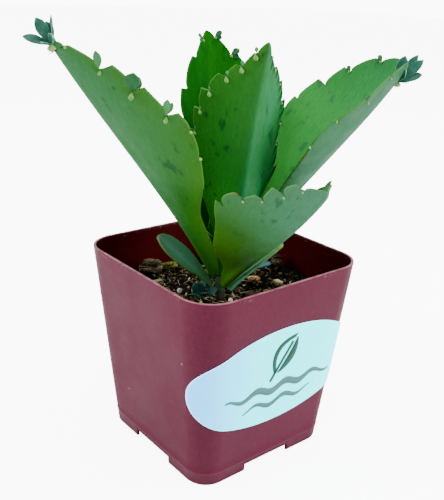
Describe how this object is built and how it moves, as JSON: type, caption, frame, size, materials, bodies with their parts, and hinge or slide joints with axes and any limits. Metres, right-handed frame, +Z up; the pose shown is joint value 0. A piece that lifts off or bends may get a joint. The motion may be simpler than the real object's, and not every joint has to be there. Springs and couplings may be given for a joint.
{
  "type": "potted kalanchoe",
  "caption": "Young toothed-leaf succulent with plantlets on its leaf margins, rooted in potting mix in a square tapered nursery pot with a blank-art label.",
  "frame": {"origin": "middle of the plant's outline seen from above, on the surface that the pot's feet stand on", "axes": "+Z up; the labelled face of the pot looks along -Y; +X is to the right of that face"},
  "size_m": [0.101, 0.0724, 0.1201],
  "materials": {
    "pot_plastic": "semi-gloss moulded maroon polypropylene with fine dust specks",
    "label_film": "thin satin printed film, pale cyan with a thin white edge",
    "potting_mix": "damp dark brown peat and bark crumb",
    "stem_skin": "smooth succulent stem skin",
    "leaf_green": "waxy succulent leaf skin, green with darker blotches and a bluish bloom",
    "leaf_blue_green": "waxy succulent leaf skin, blue-green fading to olive at the base",
    "plantlet_skin": "small smooth blue-green plantlets with pale bases",
    "bark": "rough fibrous bark chips, brown to tan",
    "dry_leaf": "dry papery brown leaf scrap",
    "perlite": "rough porous white grains"
  },
  "bodies": {
    "root": {"bark_chip_back_curled": "bark", "bark_chip_back_large": "bark", "bark_chip_back_left": "bark", "bark_chip_back_pale": "bark", "bark_chip_hidden_front": "bark", "bark_chip_hidden_right": "bark", "bark_chip_middle_dark": "bark", "bark_chip_middle_orange": "bark", "bark_chip_side_clump": "bark", "bark_chip_side_tan": "bark", "bulbil_back_upper_1": "plantlet_skin", "bulbil_back_upper_2": "plantlet_skin", "bulbil_back_upper_3": "plantlet_skin", "bulbil_front_upper_1": "plantlet_skin", "bulbil_front_upper_2": "plantlet_skin", "bulbil_front_upper_3": "plantlet_skin", "bulbil_front_upper_4": "plantlet_skin", "bulbil_front_upper_5": "plantlet_skin", "bulbil_front_upper_6": "plantlet_skin", "bulbil_left_large_1": "plantlet_skin", "bulbil_left_large_2": "plantlet_skin", "bulbil_left_large_3": "plantlet_skin", "bulbil_left_large_4": "plantlet_skin", "bulbil_right_large_1": "plantlet_skin", "bulbil_right_large_2": "plantlet_skin", "bulbil_right_large_3": "plantlet_skin", "label": "label_film", "leaf_back_lower": "leaf_blue_green", "leaf_back_upper": "leaf_green", "leaf_front_lower": "leaf_blue_green", "leaf_front_upper": "leaf_green", "leaf_left_large": "leaf_green", "leaf_left_small": "leaf_blue_green", "leaf_right_large": "leaf_green", "leaf_right_small": "leaf_blue_green", "leaf_scrap_dry": "dry_leaf", "perlite_1": "perlite", "perlite_2": "perlite", "perlite_3": "perlite", "perlite_4": "perlite", "perlite_5": "perlite", "plantlet_left_tip": "plantlet_skin", "plantlet_right_tip": "plantlet_skin", "plantlet_soil_left": "plantlet_skin", "plantlet_soil_right": "plantlet_skin", "pot": "pot_plastic", "soil": "potting_mix", "stem": "stem_skin", "young_leaf_left": "leaf_green", "young_leaf_right": "leaf_green"}
  },
  "joints": []
}
